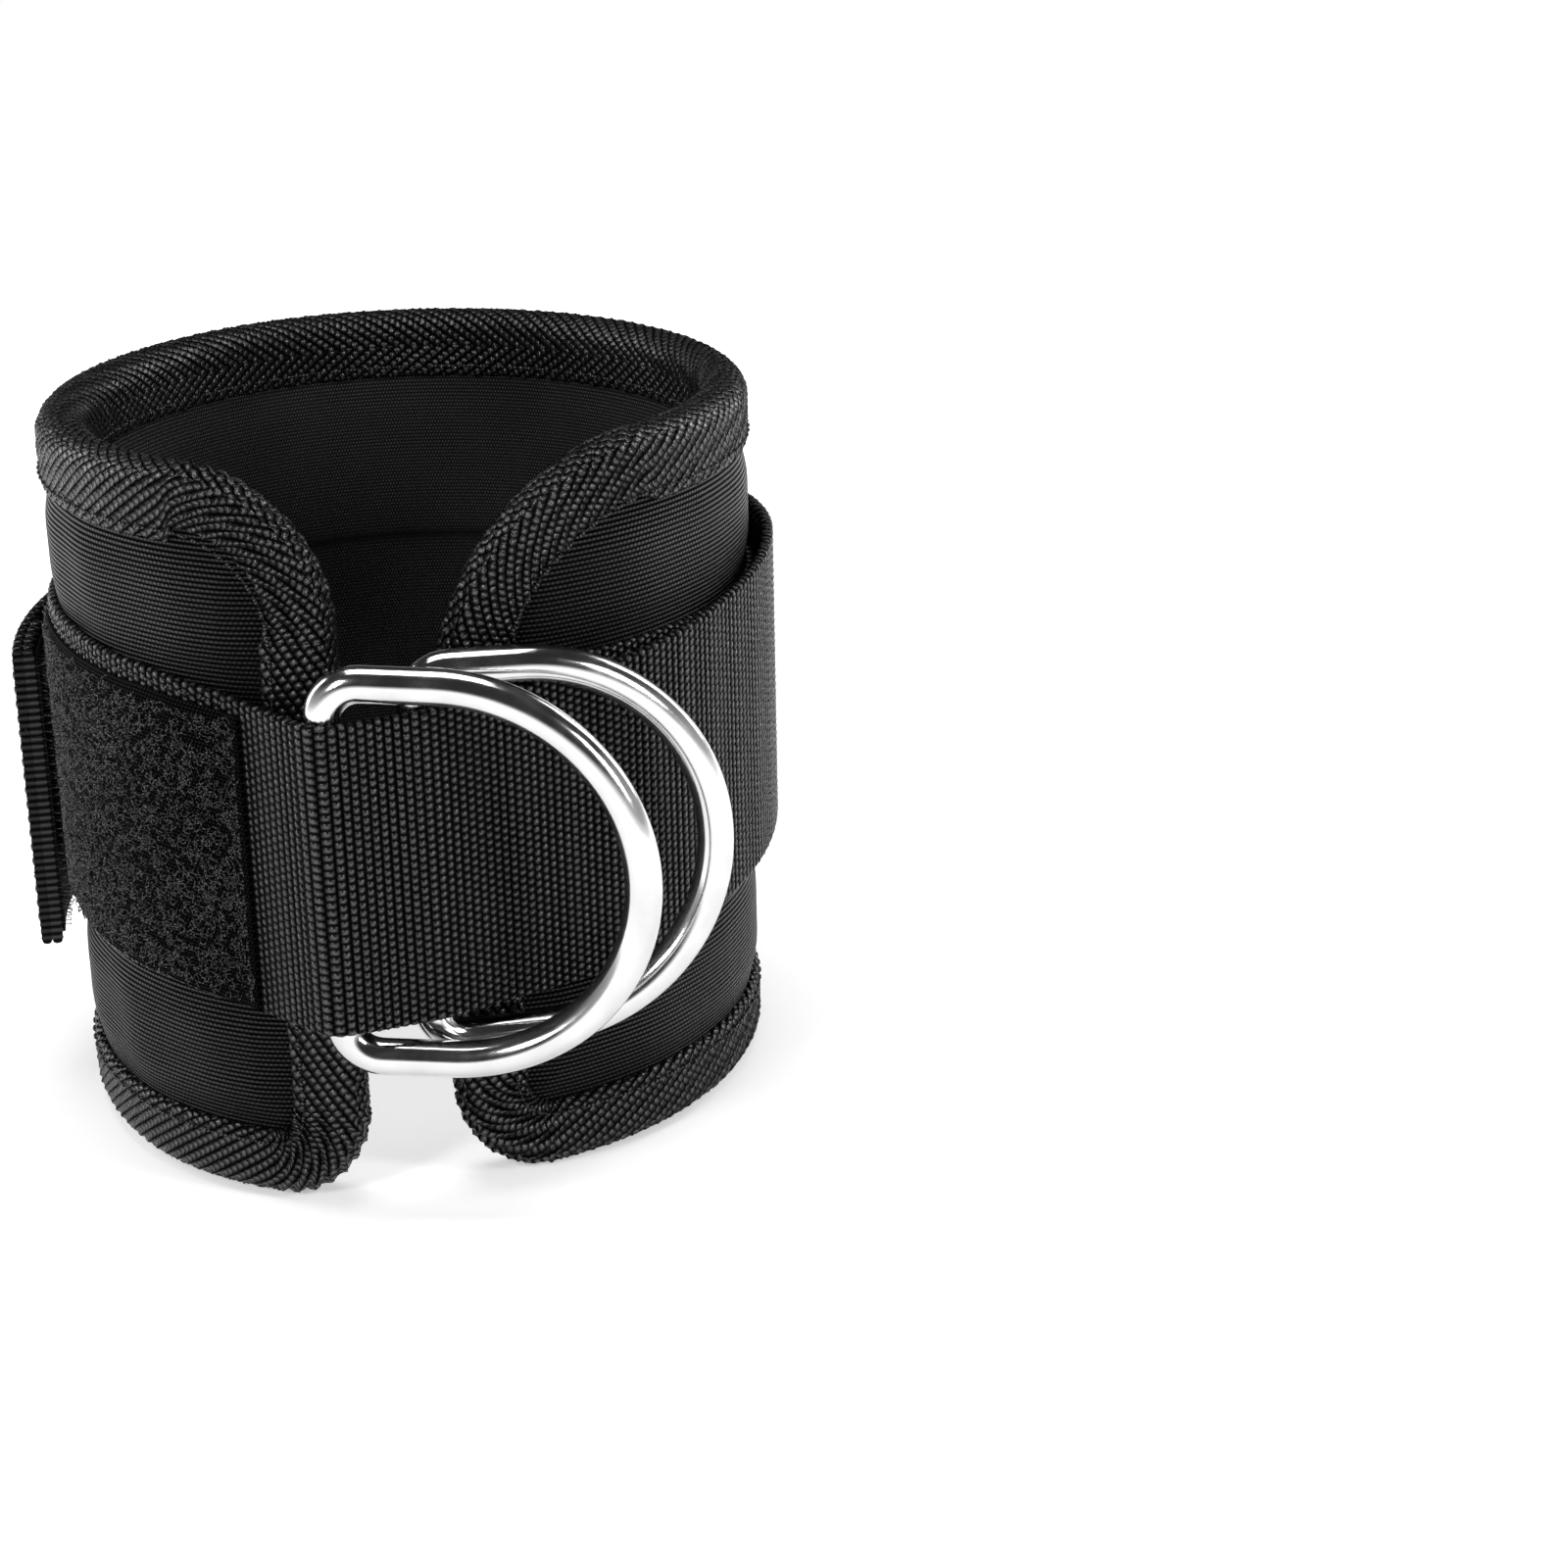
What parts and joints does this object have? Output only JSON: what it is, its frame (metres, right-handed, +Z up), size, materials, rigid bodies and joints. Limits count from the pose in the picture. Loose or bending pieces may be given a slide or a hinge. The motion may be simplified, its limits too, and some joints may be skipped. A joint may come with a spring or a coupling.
{
  "type": "cable ankle cuff",
  "caption": "Padded C-shaped ankle cuff with bound edges, a webbing strap that wraps round it, chromed D-rings on the strap and a hook-and-loop closure.",
  "frame": {"origin": "centre of the ankle opening, on the plane the cuff stands on", "axes": "+Z up along the ankle opening, -Y towards the gap between the flaps and the D-rings, +X to the right seen from the front"},
  "size_m": [0.1109, 0.1262, 0.1025],
  "materials": {
    "foam": "closed-cell neoprene foam",
    "knit": "fine ribbed nylon knit",
    "lining": "smooth matte knit",
    "binding_tape": "herringbone polyester tape with a slight sheen",
    "webbing": "coarse plain-weave polypropylene webbing",
    "thread": "bonded polyester thread",
    "loop_pile": "brushed curly loop pile",
    "hook_tape": "moulded nylon hooks",
    "chromed_steel": "bright chrome plate"
  },
  "bodies": {
    "pad": {"foam_core": "foam", "face_fabric": "knit", "inner_lining": "lining", "edge_binding": "binding_tape", "binding_stitch_outer": "thread", "binding_stitch_inner": "thread", "strap_sewn": "webbing", "strap_stitch_top": "thread", "strap_stitch_bottom": "thread", "strap_end_tack": "thread", "loop_tape": "loop_pile", "loop_tack": "thread"},
    "crossing": {"strap_crossing": "webbing"},
    "front_ring": {"d_ring_front": "chromed_steel"},
    "rear_ring": {"d_ring_rear": "chromed_steel"},
    "wrap_1": {"strap_wrap_1": "webbing"},
    "wrap_2": {"strap_wrap_2": "webbing"},
    "wrap_3": {"strap_wrap_3": "webbing"},
    "wrap_4": {"strap_wrap_4": "webbing"},
    "wrap_5": {"strap_wrap_5": "webbing"},
    "wrap_6": {"strap_wrap_6": "webbing"},
    "wrap_7": {"strap_wrap_7": "webbing"},
    "wrap_8": {"strap_wrap_8": "webbing"},
    "tip": {"strap_tip": "webbing", "tip_fold": "webbing", "hook_tape": "hook_tape", "tip_hem_stitch": "thread"}
  },
  "joints": [
    {"name": "strap_open", "type": "hinge", "parent": "pad", "child": "crossing", "pos_m": [-0.02111, -0.05421, 0.05], "axis": [0, 0, -1], "range_deg": [0, 24]},
    {"name": "front_ring_swing", "type": "hinge", "parent": "crossing", "child": "front_ring", "pos_m": [-0.0112, -0.0589, 0.0503], "axis": [0, 0, -1], "range_deg": [0, 140]},
    {"name": "rear_ring_swing", "type": "hinge", "parent": "crossing", "child": "rear_ring", "pos_m": [0.0004, -0.0556, 0.0503], "axis": [0, 0, -1], "range_deg": [0, 140]},
    {"name": "wrap_bend_1", "type": "hinge", "parent": "crossing", "child": "wrap_1", "pos_m": [0.02882, -0.04459, 0.05], "axis": [0, 0, -1], "range_deg": [0, 24]},
    {"name": "wrap_bend_2", "type": "hinge", "parent": "wrap_1", "child": "wrap_2", "pos_m": [0.04665, -0.0238, 0.05], "axis": [0, 0, -1], "range_deg": [0, 24]},
    {"name": "wrap_bend_3", "type": "hinge", "parent": "wrap_2", "child": "wrap_3", "pos_m": [0.05362, -0.00145, 0.05], "axis": [0, 0, -1], "range_deg": [0, 24]},
    {"name": "wrap_bend_4", "type": "hinge", "parent": "wrap_3", "child": "wrap_4", "pos_m": [0.05043, 0.02173, 0.05], "axis": [0, 0, -1], "range_deg": [0, 24]},
    {"name": "wrap_bend_5", "type": "hinge", "parent": "wrap_4", "child": "wrap_5", "pos_m": [0.03449, 0.04559, 0.05], "axis": [0, 0, -1], "range_deg": [0, 24]},
    {"name": "wrap_bend_6", "type": "hinge", "parent": "wrap_5", "child": "wrap_6", "pos_m": [0.01659, 0.05675, 0.05], "axis": [0, 0, -1], "range_deg": [0, 24]},
    {"name": "wrap_bend_7", "type": "hinge", "parent": "wrap_6", "child": "wrap_7", "pos_m": [-0.00436, 0.05926, 0.05], "axis": [0, 0, -1], "range_deg": [0, 24]},
    {"name": "wrap_bend_8", "type": "hinge", "parent": "wrap_7", "child": "wrap_8", "pos_m": [-0.02439, 0.05263, 0.05], "axis": [0, 0, -1], "range_deg": [0, 24]},
    {"name": "tip_peel", "type": "hinge", "parent": "wrap_8", "child": "tip", "pos_m": [-0.04683, 0.03227, 0.045], "axis": [0, 0, -1], "range_deg": [0, 60]}
  ],
  "couplings": [
    {"joint": "rear_ring_swing", "follows": "front_ring_swing", "ratio": 1},
    {"joint": "wrap_bend_1", "follows": "strap_open", "ratio": 1},
    {"joint": "wrap_bend_2", "follows": "strap_open", "ratio": 1},
    {"joint": "wrap_bend_3", "follows": "strap_open", "ratio": 1},
    {"joint": "wrap_bend_4", "follows": "strap_open", "ratio": 1},
    {"joint": "wrap_bend_5", "follows": "strap_open", "ratio": 1},
    {"joint": "wrap_bend_6", "follows": "strap_open", "ratio": 1},
    {"joint": "wrap_bend_7", "follows": "strap_open", "ratio": 1},
    {"joint": "wrap_bend_8", "follows": "strap_open", "ratio": 1}
  ]
}
